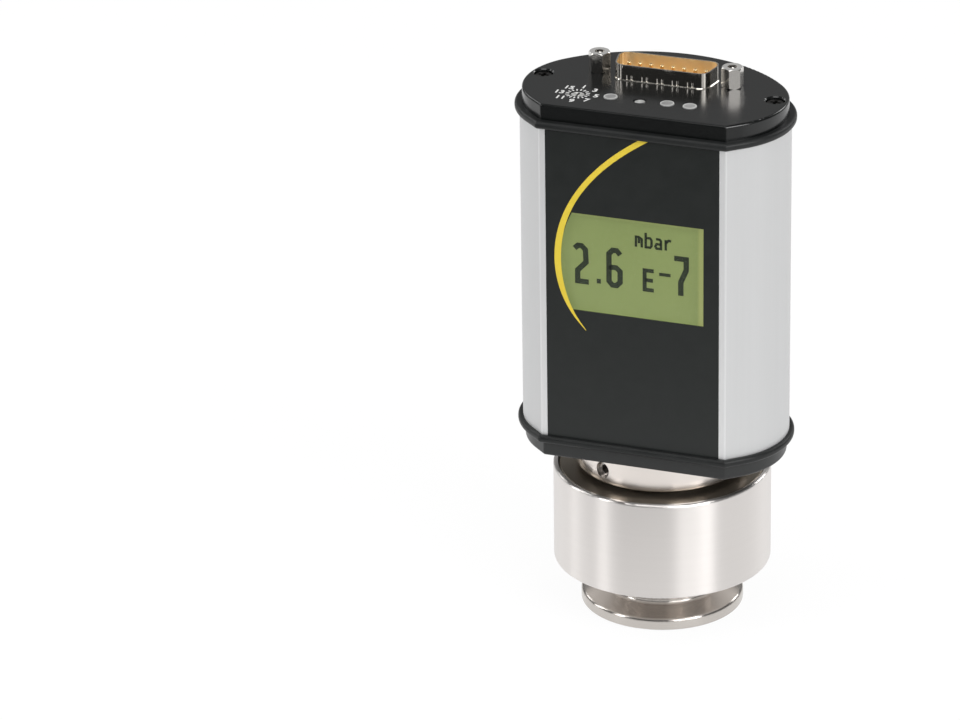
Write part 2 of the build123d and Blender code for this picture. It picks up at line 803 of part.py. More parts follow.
# Contact pins, a front row of seven and a rear row of eight
for name, row_x, row_y in (
    ("contact_pins_front", front_row_x, connector_y - row_pitch / 2),
    ("contact_pins_rear", rear_row_x, connector_y + row_pitch / 2),
):
    with BuildPart() as contact_pins:
        with BuildSketch(Plane.XY.offset(board_top)):
            with Locations(*[(x, row_y) for x in row_x]):
                Circle(pin_d / 2)
        extrude(amount=shell_top - pin_tip_drop - board_top)
        fillet(contact_pins.edges().group_by(Axis.Z)[-1], pin_d * 0.35)
    contact_pins.part.label = name
    export_step(contact_pins.part, f"parts/{name}.step")

# Jack screws: hexagon pillars with a thread for the plug's screws, and their nuts
for side, (jack_x, jack_y), hex_turn in zip(
    ("left", "right"), jack_places, (jack_turn_left, jack_turn_right)
):
    with BuildPart() as jack_screw:
        with BuildSketch(Plane.XY.offset(top_z)):
            with Locations((jack_x, jack_y)):
                RegularPolygon(jack_hex / 2, 6, major_radius=False, rotation=hex_turn)
        extrude(amount=jack_height)
        with BuildSketch(Plane.XY.offset(top_z)):
            with Locations((jack_x, jack_y)):
                Circle(jack_hex / 2 / cos(radians(30)) - jack_bevel)
        extrude(amount=jack_height, taper=-45, mode=Mode.INTERSECT)
        with BuildSketch(Plane.XY.offset(top_z)):
            with Locations((jack_x, jack_y)):
                Circle(jack_hex / 2 / cos(radians(30)) - jack_bevel + jack_height)
        extrude(amount=jack_height, taper=45, mode=Mode.INTERSECT)
        with BuildSketch(Plane.XY.offset(top_z)):
            with Locations((jack_x, jack_y)):
                Circle(jack_thread_d / 2 - thread_play)
        extrude(amount=-jack_stud_length)
        with BuildSketch(Plane.XY.offset(top_z + jack_height)):
            with Locations((jack_x, jack_y)):
                Circle(jack_bore_d / 2)
        extrude(amount=-jack_thread_depth, mode=Mode.SUBTRACT)
    jack_screw.part.label = f"jack_screw_{side}"
    export_step(jack_screw.part, f"parts/jack_screw_{side}.step")
    with BuildPart() as jack_nut:
        with BuildSketch(Plane.XY.offset(plug_flange_z)):
            with Locations((jack_x, jack_y)):
                RegularPolygon(jack_hex / 2, 6, major_radius=False)
                Circle(jack_thread_d / 2, mode=Mode.SUBTRACT)
        extrude(amount=-jack_nut_height)
    jack_nut.part.label = f"jack_nut_{side}"
    export_step(jack_nut.part, f"parts/jack_nut_{side}.step")

# Case screws, two through each cap into the extrusion's channels
for level, head_z, inward in (("lower", lower_cap_z, 1), ("upper", top_z, -1)):
    seat_z = head_z + inward * (case_head_sink + case_head_height)
    for side, place in zip(("left", "right"), case_screw_places):
        with BuildPart() as case_screw:
            with BuildSketch(Plane.XY.offset(seat_z)):
                with Locations(place):
                    Circle(case_head_d / 2)
            extrude(amount=-inward * case_head_height)
            head_edges = case_screw.edges().group_by(Axis.Z)[-1 if inward < 0 else 0]
            fillet(head_edges, case_head_round)
            with BuildSketch(Plane.XY.offset(seat_z)):
                with Locations(place):
                    Circle(case_screw_d / 2)
            extrude(amount=inward * case_screw_length)
            with BuildSketch(Plane.XY.offset(head_z + inward * case_head_sink)):
                with Locations(place):
                    Rectangle(2.6, 0.8)
                    Rectangle(0.8, 2.6)
            extrude(amount=inward * 1.0, mode=Mode.SUBTRACT)
        case_screw.part.label = f"{level}_case_screw_{side}"
        export_step(case_screw.part, f"parts/{level}_case_screw_{side}.step")

# Rotary address switch: square body on the board and a slotted rotor
with BuildPart() as address_switch_body:
    with BuildSketch(Plane.XY.offset(board_top)):
        with Locations((address_x, address_y)):
            RectangleRounded(address_body, address_body, 0.5)
    extrude(amount=address_body_height)
    with BuildSketch(Plane.XY.offset(board_top + address_body_height)):
        with Locations((address_x, address_y)):
            Circle(rotor_d / 2 + running_play)
    extrude(amount=-address_pocket, mode=Mode.SUBTRACT)
address_switch_body.part.label = "address_switch_body"
export_step(address_switch_body.part, "parts/address_switch_body.step")

rotor_low = board_top + address_body_height - address_pocket + running_play
rotor_top = top_z - rotor_sink
with BuildPart() as address_rotor:
    with BuildSketch(Plane.XY.offset(rotor_low)):
        with Locations((address_x, address_y)):
            Circle(rotor_d / 2)
    extrude(amount=rotor_top - rotor_low)
    with BuildSketch(Plane.XY.offset(rotor_top)):
        with Locations((address_x, address_y)):
            Rectangle(rotor_slot_width, rotor_d * 0.8)
        with Locations((address_x, address_y + rotor_d * 0.25)):
            Circle(rotor_pointer_d / 2)
    extrude(amount=-rotor_slot_depth, mode=Mode.SUBTRACT)
address_rotor.part.label = "address_rotor"
export_step(address_rotor.part, "parts/address_rotor.step")

# Adjust button: tact switch body on the board and a round plunger
plunger_low = board_top + tact_height - tact_pocket + button_travel + running_play
with BuildPart() as adjust_switch_body:
    with BuildSketch(Plane.XY.offset(board_top)):
        with Locations((adjust_x, control_y)):
            RectangleRounded(tact_body, tact_body, 0.5)
    extrude(amount=tact_height)
    with BuildSketch(Plane.XY.offset(board_top + tact_height)):
        with Locations((adjust_x, control_y)):
            Circle(button_d / 2 + running_play)
    extrude(amount=-tact_pocket, mode=Mode.SUBTRACT)
adjust_switch_body.part.label = "adjust_switch_body"
export_step(adjust_switch_body.part, "parts/adjust_switch_body.step")

with BuildPart() as adjust_button:
    with BuildSketch(Plane.XY.offset(plunger_low)):
        with Locations((adjust_x, control_y)):
            Circle(button_d / 2)
    extrude(amount=top_z - button_sink - plunger_low)
    fillet(adjust_button.edges().group_by(Axis.Z)[-1], 0.5)
adjust_button.part.label = "adjust_button"
export_step(adjust_button.part, "parts/adjust_button.step")

# Light pipes, a little proud of the cap, each above its own small lamp on the board
for name, light_x in light_places.items():
    with BuildPart() as light_pipe:
        with BuildSketch(Plane.XY.offset(board_top + led_height)):
            with Locations((light_x, control_y)):
                Circle(light_d / 2)
        extrude(amount=top_z + light_rise - board_top - led_height)
        fillet(light_pipe.edges().group_by(Axis.Z)[-1], light_round)
        with BuildSketch(Plane.XY.offset(top_z - cap_plate - light_lip_height)):
            with Locations((light_x, control_y)):
                Circle(light_d / 2 + light_lip)
        extrude(amount=light_lip_height)
    light_pipe.part.label = name
    export_step(light_pipe.part, f"parts/{name}.step")

with BuildPart() as indicator_lamps:
    with BuildSketch(Plane.XY.offset(board_top)):
        with Locations(*[(x, control_y) for x in light_places.values()]):
            Rectangle(led_width, led_depth)
    extrude(amount=led_height)
indicator_lamps.part.label = "indicator_lamps"
export_step(indicator_lamps.part, "parts/indicator_lamps.step")

# Collar screws from inside the lower cap
for number, place in enumerate(collar_screw_places, start=1):
    with BuildPart() as collar_screw:
        with BuildSketch(Plane.XY.offset(floor_top)):
            with Locations(place):
                Circle(collar_screw_d * 0.9)
        extrude(amount=collar_screw_d * 0.6)
        with BuildSketch(Plane.XY.offset(floor_top)):
            with Locations(place):
                Circle(collar_screw_d / 2)
        extrude(amount=-(collar_screw_length - 0.5))
    collar_screw.part.label = f"collar_screw_{number}"
    export_step(collar_screw.part, f"parts/collar_screw_{number}.step")

# Sensor board on the lower cap's posts, with the socket for the sensor's pins
with BuildPart() as sensor_board:
    with BuildSketch(Plane.XY.offset(sensor_board_z)):
        with Locations((0, post_y)):
            RectangleRounded(sensor_board_width, sensor_board_depth, 2.0)
    extrude(amount=board_thickness)
sensor_board.part.label = "sensor_board"
export_step(sensor_board.part, "parts/sensor_board.step")

with BuildPart() as sensor_socket:
    with BuildSketch(Plane.XY.offset(tube_top)):
        Circle(socket_d / 2)
        Circle(anode_rod_d / 2 + socket_play, mode=Mode.SUBTRACT)
        with Locations(*filament_pin_places):
            Circle(filament_pin_d / 2 + socket_play, mode=Mode.SUBTRACT)
    extrude(amount=socket_height)
sensor_socket.part.label = "sensor_socket"
export_step(sensor_socket.part, "parts/sensor_socket.step")

# Header that closes the sensor tube
with BuildPart() as header:
    with BuildSketch(Plane.XY.offset(header_z)):
        Circle(header_r)
        Circle(ceramic_d / 2, mode=Mode.SUBTRACT)
        with Locations(*filament_pin_places):
            Circle(seal_d / 2, mode=Mode.SUBTRACT)
    extrude(amount=header_thickness)
header.part.label = "header"
export_step(header.part, "parts/header.step")

# Ceramic bush that insulates the anode in the header
with BuildPart() as anode_bush:
    with BuildSketch(Plane.XZ):
        with BuildLine():
            Polyline(
                (anode_rod_d / 2, header_z - ceramic_length / 2),
                (ceramic_d / 2, header_z - ceramic_length / 2),
                (ceramic_d / 2, header_z + header_thickness),
                (ceramic_d / 2 + ceramic_collar, header_z + header_thickness),
                (ceramic_d / 2 + ceramic_collar, header_z + header_thickness + 1.2),
                (ceramic_d / 2, header_z + header_thickness + 1.2),
                (ceramic_d / 2, header_z + ceramic_length / 2 + 1.2),
                (anode_rod_d / 2, header_z + ceramic_length / 2 + 1.2),
                close=True,
            )
        make_face()
    revolve(axis=Axis.Z)
anode_bush.part.label = "anode_bush"
export_step(anode_bush.part, "parts/anode_bush.step")

# Anode: a rod with a drawn cup that hangs in the magnet's field
anode_high_z = anode_low_z + anode_ring_height
with BuildPart() as anode:
    with BuildSketch(Plane.XY.offset(anode_low_z)):
        Circle(anode_ring_d / 2)
        Circle(anode_ring_d / 2 - anode_sheet, mode=Mode.SUBTRACT)
    extrude(amount=anode_ring_height)
    with BuildSketch(Plane.XY.offset(anode_high_z - anode_sheet)):
        Circle(anode_ring_d / 2)
        with PolarLocations(anode_ring_d / 4 + anode_rod_d / 4, 6):
            Circle(anode_vent_d / 2, mode=Mode.SUBTRACT)
    extrude(amount=anode_sheet)
    with BuildSketch(Plane.XY.offset(anode_high_z - anode_sheet)):
        Circle(anode_rod_d / 2)
    extrude(amount=pin_top - anode_high_z + anode_sheet)
anode.part.label = "anode"
export_step(anode.part, "parts/anode.step")

# Perforated cathode plate on the inlet's step
with BuildPart() as cathode_plate:
    with BuildSketch(Plane.XY.offset(inlet_depth)):
        Circle(chamber_r)
        Circle(baffle_centre_d / 2, mode=Mode.SUBTRACT)
        with PolarLocations(baffle_hole_circle / 2, baffle_hole_count):
            Circle(baffle_hole_d / 2, mode=Mode.SUBTRACT)
    extrude(amount=baffle_thickness)
cathode_plate.part.label = "cathode_plate"
export_step(cathode_plate.part, "parts/cathode_plate.step")

# Heated-wire gauge beside the anode: a thin tube, its wire, two pins and their seals
with BuildPart() as filament_tube:
    with BuildSketch(Plane.XY.offset(header_z)):
        with Locations((filament_offset, 0)):
            Circle(filament_tube_d / 2)
            Circle(filament_tube_d / 2 - filament_tube_wall, mode=Mode.SUBTRACT)
    extrude(amount=-filament_tube_length)
filament_tube.part.label = "filament_tube"
export_step(filament_tube.part, "parts/filament_tube.step")

with BuildPart() as filament:
    with BuildLine() as filament_path:
        Polyline(
            (filament_offset, filament_pin_places[0][1], header_z - 0.5),
            (filament_offset, 0, header_z - filament_tube_length + 1.0),
            (filament_offset, filament_pin_places[1][1], header_z - 0.5),
        )
    with BuildSketch(Plane(origin=filament_path.line @ 0, z_dir=filament_path.line % 0)):
        RegularPolygon(filament_wire_d / 2, 6)
    sweep(transition=Transition.RIGHT)
filament.part.label = "filament"
export_step(filament.part, "parts/filament.step")

with BuildPart() as filament_pins:
    with BuildSketch(Plane.XY.offset(header_z - 0.5)):
        with Locations(*filament_pin_places):
            Circle(filament_pin_d / 2)
    extrude(amount=pin_top - header_z + 0.5)
filament_pins.part.label = "filament_pins"
export_step(filament_pins.part, "parts/filament_pins.step")

with BuildPart() as pin_seals:
    with BuildSketch(Plane.XY.offset(header_z)):
        with Locations(*filament_pin_places):
            Circle(seal_d / 2)
        with Locations(*filament_pin_places):
            Circle(filament_pin_d / 2, mode=Mode.SUBTRACT)
    extrude(amount=header_thickness)
pin_seals.part.label = "pin_seals"
export_step(pin_seals.part, "parts/pin_seals.step")
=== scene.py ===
from math import cos, pi, radians, sin

import bpy
from mathutils import Matrix, Vector


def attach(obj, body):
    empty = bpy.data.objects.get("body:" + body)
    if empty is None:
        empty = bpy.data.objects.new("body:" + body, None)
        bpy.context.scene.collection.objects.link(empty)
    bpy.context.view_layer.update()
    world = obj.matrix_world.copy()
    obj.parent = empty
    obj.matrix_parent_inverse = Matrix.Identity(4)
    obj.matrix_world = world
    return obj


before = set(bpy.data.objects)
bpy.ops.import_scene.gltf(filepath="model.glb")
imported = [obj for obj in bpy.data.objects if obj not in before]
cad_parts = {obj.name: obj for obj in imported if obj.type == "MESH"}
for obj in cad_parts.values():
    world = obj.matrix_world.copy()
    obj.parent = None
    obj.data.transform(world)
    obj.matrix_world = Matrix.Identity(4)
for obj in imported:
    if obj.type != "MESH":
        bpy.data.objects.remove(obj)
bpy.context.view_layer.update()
bpy.ops.object.select_all(action="DESELECT")
bpy.context.scene.view_settings.view_transform = "Standard"

# Camera, at the height and side from which the photograph was taken: front
# right and above, with a long lens. Found from the flange, can and cap outline.
turn, tilt, roll = radians(20.313), radians(24.366), radians(-0.874)
away = Vector((sin(turn) * cos(tilt), -cos(turn) * cos(tilt), sin(tilt)))
level = Vector((cos(turn), sin(turn), 0))
upward = away.cross(level)
picture_right = level * cos(roll) + upward * sin(roll)
picture_up = upward * cos(roll) - level * sin(roll)
bpy.ops.object.camera_add()
camera = bpy.context.object
camera.name = "camera"
camera.matrix_world = Matrix.Translation((0.404515, -1.220375, 0.646241)) @ Matrix(
    (picture_right, picture_up, away)).transposed().to_4x4()
camera.data.sensor_width = 36
camera.data.lens = 217.48
camera.data.clip_start = 0.05
camera.data.clip_end = 30
bpy.context.scene.camera = camera

# Floor: a white sheet under the sensor. The camera sees white ground with a soft
# share of the sensor's shadow; in reflections it ends in the dark before the set.
bpy.ops.mesh.primitive_plane_add(size=12, location=(0, 0, -0.0002))
floor = bpy.context.object
floor.name = "white_floor"
paper = bpy.data.materials.new("white_paper")
paper.use_nodes = True
nodes, links = paper.node_tree.nodes, paper.node_tree.links
sheet = nodes["Principled BSDF"]
sheet.inputs["Base Color"].default_value = (0.86, 0.86, 0.86, 1)
sheet.inputs["Roughness"].default_value = 0.9
sheet.inputs["Specular IOR Level"].default_value = 0.1
glow = nodes.new("ShaderNodeEmission")
rays = nodes.new("ShaderNodeLightPath")
seen = nodes.new("ShaderNodeMath")
seen.operation = "MAXIMUM"
links.new(rays.outputs["Is Camera Ray"], seen.inputs[0])
links.new(rays.outputs["Is Glossy Ray"], seen.inputs[1])
shown = nodes.new("ShaderNodeMath")
shown.operation = "MAXIMUM"
links.new(seen.outputs[0], shown.inputs[0])
links.new(rays.outputs["Is Transmission Ray"], shown.inputs[1])
share = nodes.new("ShaderNodeMath")
share.operation = "MULTIPLY"
share.inputs[1].default_value = 0.92
links.new(shown.outputs[0], share.inputs[0])
floor_place = nodes.new("ShaderNodeSeparateXYZ")
links.new(nodes.new("ShaderNodeTexCoord").outputs["Object"], floor_place.inputs[0])
dark_ahead = nodes.new("ShaderNodeMapRange")
dark_ahead.interpolation_type = "SMOOTHSTEP"
dark_ahead.inputs["From Min"].default_value = -0.30
dark_ahead.inputs["From Max"].default_value = -0.09
dark_ahead.inputs["To Min"].default_value = -0.93
dark_ahead.inputs["To Max"].default_value = 0.0
links.new(floor_place.outputs["Y"], dark_ahead.inputs["Value"])
mirrored = nodes.new("ShaderNodeMath")
mirrored.operation = "MULTIPLY_ADD"
mirrored.inputs[2].default_value = 1.01
links.new(dark_ahead.outputs["Result"], mirrored.inputs[0])
links.new(rays.outputs["Is Glossy Ray"], mirrored.inputs[1])
links.new(mirrored.outputs[0], glow.inputs["Strength"])
blend = nodes.new("ShaderNodeMixShader")
links.new(share.outputs[0], blend.inputs["Fac"])
links.new(sheet.outputs[0], blend.inputs[1])
links.new(glow.outputs[0], blend.inputs[2])
links.new(blend.outputs[0], nodes["Material Output"].inputs["Surface"])
floor.data.materials.append(paper)

# White room around it, and the soft boxes. The room is white to the camera and
# lights the sensor at a plain level; in reflections it is dark but for the boxes.
world = bpy.data.worlds.new("white_room")
bpy.context.scene.world = world
world.use_nodes = True
nodes, links = world.node_tree.nodes, world.node_tree.links
room = nodes["Background"]
room.inputs["Color"].default_value = (1, 1, 1, 1)
rays = nodes.new("ShaderNodeLightPath")
shown = nodes.new("ShaderNodeMath")
shown.operation = "MAXIMUM"
links.new(rays.outputs["Is Camera Ray"], shown.inputs[0])
links.new(rays.outputs["Is Transmission Ray"], shown.inputs[1])
room_level = nodes.new("ShaderNodeMapRange")
room_level.inputs["To Min"].default_value = 0.4
room_level.inputs["To Max"].default_value = 1.0
links.new(shown.outputs[0], room_level.inputs["Value"])
dimmed = nodes.new("ShaderNodeMath")
dimmed.operation = "MULTIPLY_ADD"
dimmed.inputs[1].default_value = -0.28
links.new(rays.outputs["Is Glossy Ray"], dimmed.inputs[0])
links.new(room_level.outputs["Result"], dimmed.inputs[2])
links.new(dimmed.outputs[0], room.inputs["Strength"])


def soft_box(name, azimuth, height, distance, width, tall, watts):
    """A soft box at an azimuth counted from the front to the right, aimed at the sensor."""
    side = Vector((sin(radians(azimuth)), -cos(radians(azimuth)), 0)) * distance
    place = side + Vector((0, 0, height))
    bpy.ops.object.light_add(type="AREA", location=place)
    lamp = bpy.context.object
    lamp.name = name
    lamp.data.shape = "RECTANGLE"
    lamp.data.size = width
    lamp.data.size_y = tall
    lamp.data.energy = watts
    aim = place - Vector((0, 0, 0.08))
    lamp.rotation_euler = aim.to_track_quat("Z", "Y").to_euler()


soft_box("right_soft_box", 54, 0.58, 1.0, 0.78, 0.7, 6.6)
soft_box("right_inner_box", 66, 0.55, 0.92, 0.24, 0.6, 1.7)
soft_box("left_strip_box", -45, 0.60, 1.1, 0.26, 0.8, 3.2)
soft_box("far_left_box", -83, 0.58, 1.0, 0.2, 0.8, 2.4)
soft_box("back_right_box", 153, 0.75, 1.2, 0.35, 0.5, 3.0)
soft_box("back_left_box", -117, 0.75, 1.2, 0.35, 0.5, 1.8)
soft_box("top_soft_box", 10, 1.30, 0.35, 0.8, 0.8, 5.0)
soft_box("back_panel", 198, 0.95, 1.6, 2.6, 1.2, 1.8)


# Clamp flange and sensor tube: one piece of stainless steel, turned from bar.
# The lathe leaves fine rings, which draw every reflection out along the tube.
def lathe_group():
    """Object coordinates as distance from the axis and height, for turned faces."""
    group = bpy.data.node_groups.new("lathe_place", "ShaderNodeTree")
    group.interface.new_socket(name="Place", in_out="INPUT", socket_type="NodeSocketVector")
    group.interface.new_socket(name="Rings", in_out="OUTPUT", socket_type="NodeSocketVector")
    nodes, links = group.nodes, group.links
    source, result = nodes.new("NodeGroupInput"), nodes.new("NodeGroupOutput")
    flat = nodes.new("ShaderNodeVectorMath")
    flat.operation = "MULTIPLY"
    flat.inputs[1].default_value = (1, 1, 0)
    reach = nodes.new("ShaderNodeVectorMath")
    reach.operation = "LENGTH"
    parts = nodes.new("ShaderNodeSeparateXYZ")
    rings = nodes.new("ShaderNodeCombineXYZ")
    links.new(source.outputs["Place"], flat.inputs[0])
    links.new(flat.outputs["Vector"], reach.inputs[0])
    links.new(source.outputs["Place"], parts.inputs[0])
    links.new(reach.outputs["Value"], rings.inputs["X"])
    links.new(parts.outputs["Z"], rings.inputs["Z"])
    links.new(rings.outputs[0], result.inputs["Rings"])
    return group


def grain_group():
    """Two close colours, uneven roughness and a fine relief, from one noise."""
    group = bpy.data.node_groups.new("surface_grain", "ShaderNodeTree")
    wanted = {
        "Place": "NodeSocketVector", "Colour": "NodeSocketColor", "Second Colour": "NodeSocketColor",
        "Roughness": "NodeSocketFloat", "Spread": "NodeSocketFloat", "Relief": "NodeSocketFloat",
    }
    for name, kind in wanted.items():
        group.interface.new_socket(name=name, in_out="INPUT", socket_type=kind)
    for name, kind in (("Colour", "NodeSocketColor"), ("Roughness", "NodeSocketFloat"),
                       ("Normal", "NodeSocketVector")):
        group.interface.new_socket(name=name, in_out="OUTPUT", socket_type=kind)
    nodes, links = group.nodes, group.links
    source, result = nodes.new("NodeGroupInput"), nodes.new("NodeGroupOutput")
    fine, broad = nodes.new("ShaderNodeTexNoise"), nodes.new("ShaderNodeTexNoise")
    fine.inputs["Scale"].default_value = 1.0
    fine.inputs["Detail"].default_value = 3.0
    broad.inputs["Scale"].default_value = 0.06
    broad.inputs["Detail"].default_value = 2.0
    both = nodes.new("ShaderNodeMath")
    both.operation = "ADD"
    middle = nodes.new("ShaderNodeMapRange")
    middle.inputs["From Min"].default_value = 0.65
    middle.inputs["From Max"].default_value = 1.35
    colour = nodes.new("ShaderNodeMix")
    colour.data_type = "RGBA"
    uneven = nodes.new("ShaderNodeMath")
    uneven.operation = "MULTIPLY_ADD"
    relief = nodes.new("ShaderNodeBump")
    relief.inputs["Strength"].default_value = 1.0
    for noise in (fine, broad):
        links.new(source.outputs["Place"], noise.inputs["Vector"])
    links.new(fine.outputs["Fac"], both.inputs[0])
    links.new(broad.outputs["Fac"], both.inputs[1])
    links.new(both.outputs[0], middle.inputs["Value"])
    links.new(middle.outputs["Result"], colour.inputs["Factor"])
    links.new(source.outputs["Colour"], colour.inputs["A"])
    links.new(source.outputs["Second Colour"], colour.inputs["B"])
    links.new(middle.outputs["Result"], uneven.inputs[0])
    links.new(source.outputs["Spread"], uneven.inputs[1])
    links.new(source.outputs["Roughness"], uneven.inputs[2])
    links.new(fine.outputs["Fac"], relief.inputs["Height"])
    links.new(source.outputs["Relief"], relief.inputs["Distance"])
    links.new(colour.outputs["Result"], result.inputs["Colour"])
    links.new(uneven.outputs[0], result.inputs["Roughness"])
    links.new(relief.outputs[0], result.inputs["Normal"])
    return group


lathe_place = lathe_group()
surface_grain = grain_group()


def finish(name, colour, second, roughness, spread, grain, relief, turned=False, centre=(0, 0, 0), **fixed):
    """A material of two close colours; grain is the size of its marks along X, Y and Z in mm."""
    material = bpy.data.materials.new(name)
    material.use_nodes = True
    nodes, links = material.node_tree.nodes, material.node_tree.links
    shader = nodes["Principled BSDF"]
    place = nodes.new("ShaderNodeTexCoord").outputs["Object"]
    if turned:
        moved = nodes.new("ShaderNodeMapping")
        moved.inputs["Location"].default_value = [-c for c in centre]
        links.new(place, moved.inputs["Vector"])
        rings = nodes.new("ShaderNodeGroup")
        rings.node_tree = lathe_place
        links.new(moved.outputs[0], rings.inputs["Place"])
        place = rings.outputs["Rings"]
        around = nodes.new("ShaderNodeVectorMath")
        around.operation = "CROSS_PRODUCT"
        around.inputs[0].default_value = (0, 0, 1)
        links.new(moved.outputs[0], around.inputs[1])
        along = nodes.new("ShaderNodeVectorMath")
        along.operation = "NORMALIZE"
        links.new(around.outputs[0], along.inputs[0])
        links.new(along.outputs[0], shader.inputs["Tangent"])
        shader.inputs["Anisotropic Rotation"].default_value = 0.25
    scaled = nodes.new("ShaderNodeMapping")
    scaled.inputs["Scale"].default_value = [1000 / size for size in grain]
    links.new(place, scaled.inputs["Vector"])
    marks = nodes.new("ShaderNodeGroup")
    marks.name = "marks"
    marks.node_tree = surface_grain
    links.new(scaled.outputs[0], marks.inputs["Place"])
    marks.inputs["Colour"].default_value = (*colour, 1)
    marks.inputs["Second Colour"].default_value = (*second, 1)
    marks.inputs["Roughness"].default_value = roughness
    marks.inputs["Spread"].default_value = spread
    marks.inputs["Relief"].default_value = relief / 1000
    links.new(marks.outputs["Colour"], shader.inputs["Base Color"])
    links.new(marks.outputs["Roughness"], shader.inputs["Roughness"])
    links.new(marks.outputs["Normal"], shader.inputs["Normal"])
    for socket, value in fixed.items():
        shader.inputs[socket.replace("_", " ")].default_value = value
    return material


def dress(material, *names):
    """Puts a finish on CAD nodes."""
    for name in names:
        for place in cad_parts[name].material_slots:
            place.material = material


turned_steel = finish("turned_stainless_steel", (0.56, 0.525, 0.49), (0.59, 0.555, 0.52), 0.2, 0.04,
                      (0.06, 1, 0.06), 0.0003, turned=True, Metallic=1.0, Anisotropic=0.9)
dress(turned_steel, "clamp_flange_tube")

# Magnet can: a soft iron cup, nickel plated and polished, with a rounded lip.
# It slips over the tube and holds two ring magnets under a dark pole plate.
can_finish = finish("polished_nickel_can", (0.8, 0.765, 0.74), (0.82, 0.785, 0.76), 0.3, 0.02,
                    (0.06, 1, 0.06), 0.0002, turned=True, Metallic=1.0, Anisotropic=0.96)
dress(can_finish, "magnet_can")
magnet_finish = finish("plated_magnet", (0.32, 0.32, 0.33), (0.42, 0.42, 0.43), 0.3, 0.15,
                       (0.6, 0.6, 0.6), 0.002, Metallic=1.0)
dress(magnet_finish, "magnet_ring_lower", "magnet_ring_upper")
pole_finish = finish("blackened_iron", (0.32, 0.28, 0.23), (0.38, 0.335, 0.28), 0.36, 0.1,
                     (0.15, 1, 0.15), 0.001, turned=True, Metallic=1.0, Anisotropic=0.5)
dress(pole_finish, "pole_plate")
ring_finish = finish("spring_steel", (0.2, 0.19, 0.18), (0.28, 0.27, 0.26), 0.3, 0.12,
                     (0.4, 0.4, 0.4), 0.001, Metallic=1.0)
dress(ring_finish, "snap_ring")

# Clamp collar: polished steel ring between can and housing. A set screw with a
# hexagon socket holds it on the tube, four screws hold it to the lower cap.
collar_finish = finish("polished_collar", (0.8, 0.74, 0.695), (0.82, 0.765, 0.72), 0.14, 0.03,
                       (0.06, 1, 0.06), 0.0002, turned=True, Metallic=1.0, Anisotropic=0.9)
dress(collar_finish, "clamp_collar")
small_steel = finish("small_screw_steel", (0.36, 0.34, 0.32), (0.5, 0.48, 0.46), 0.22, 0.15,
                     (0.3, 0.3, 0.3), 0.002, Metallic=1.0)
dress(small_steel, "collar_set_screw", "collar_screw_1", "collar_screw_2", "collar_screw_3",
      "collar_screw_4")

# Caps: injection moulded plastic, satin below and high gloss on top, where the
# connector and the controls are. The case screws sit sunk in both.
satin_plastic = finish("satin_black_plastic", (0.013, 0.014, 0.014), (0.019, 0.02, 0.02), 0.3, 0.1,
                       (0.25, 0.25, 0.25), 0.004, Specular_IOR_Level=0.45)
dress(satin_plastic, "lower_cap")
gloss_plastic = finish("gloss_black_plastic", (0.0025, 0.003, 0.003), (0.004, 0.0048, 0.0046), 0.17, 0.05,
                       (1.4, 1.4, 1.4), 0.0008, Specular_IOR_Level=0.5)
dress(gloss_plastic, "upper_cap")
black_oxide = finish("black_oxide_screw", (0.03, 0.029, 0.028), (0.05, 0.048, 0.046), 0.28, 0.15,
                     (0.25, 0.25, 0.25), 0.003, Metallic=0.8)
dress(black_oxide, "upper_case_screw_left", "upper_case_screw_right", "lower_case_screw_left",
      "lower_case_screw_right")

# Gaskets: soft black rubber with a round bead that also guards the corners.
rubber = finish("black_gasket_rubber", (0.009, 0.01, 0.01), (0.015, 0.016, 0.016), 0.36, 0.14,
                (0.35, 0.35, 0.35), 0.006, Specular_IOR_Level=0.3)
dress(rubber, "lower_gasket", "upper_gasket")

# Body: extruded aluminium, etched and clear anodised. The die leaves faint
# lines from end to end; the flat front beside the film is painted lighter, a painted highlight.
def zone(material, axis, start, end, most=1.0):
    """A mask that rises from nothing at one place along an axis to most at another, in mm."""
    nodes, links = material.node_tree.nodes, material.node_tree.links
    place = nodes.new("ShaderNodeSeparateXYZ")
    links.new(nodes.new("ShaderNodeTexCoord").outputs["Object"], place.inputs[0])
    mask = nodes.new("ShaderNodeMapRange")
    mask.inputs["From Min"].default_value = start / 1000
    mask.inputs["From Max"].default_value = end / 1000
    mask.inputs["To Max"].default_value = most
    links.new(place.outputs[axis], mask.inputs["Value"])
    return mask.outputs["Result"]


def calculate(material, operation, *values):
    """A Math node fed with sockets and plain numbers in their order."""
    node = material.node_tree.nodes.new("ShaderNodeMath")
    node.operation = operation
    for slot, value in zip(node.inputs, values):
        if isinstance(value, (int, float)):
            slot.default_value = value
        else:
            material.node_tree.links.new(value, slot)
    return node.outputs[0]


def recolour(material, mask, colour):
    """Blends a finish towards another colour where a mask says so."""
    nodes, links = material.node_tree.nodes, material.node_tree.links
    blended = nodes.new("ShaderNodeMix")
    blended.data_type = "RGBA"
    blended.inputs["B"].default_value = (*colour, 1)
    links.new(mask, blended.inputs["Factor"])
    links.new(nodes["marks"].outputs["Colour"], blended.inputs["A"])
    links.new(blended.outputs["Result"], nodes["Principled BSDF"].inputs["Base Color"])
    return blended.outputs["Result"]


anodised = finish("satin_anodised_aluminium", (0.66, 0.663, 0.665), (0.69, 0.693, 0.695), 0.58, 0.06,
                  (0.4, 0.4, 60), 0.0005, Metallic=0.85, Specular_IOR_Level=0.5)
# Painted highlight: the flat front strips beside the film are given a lighter colour.
recolour(anodised, zone(anodised, "Y", -22.3, -22.58), (0.86, 0.862, 0.864))
dress(anodised, "body_extrusion")

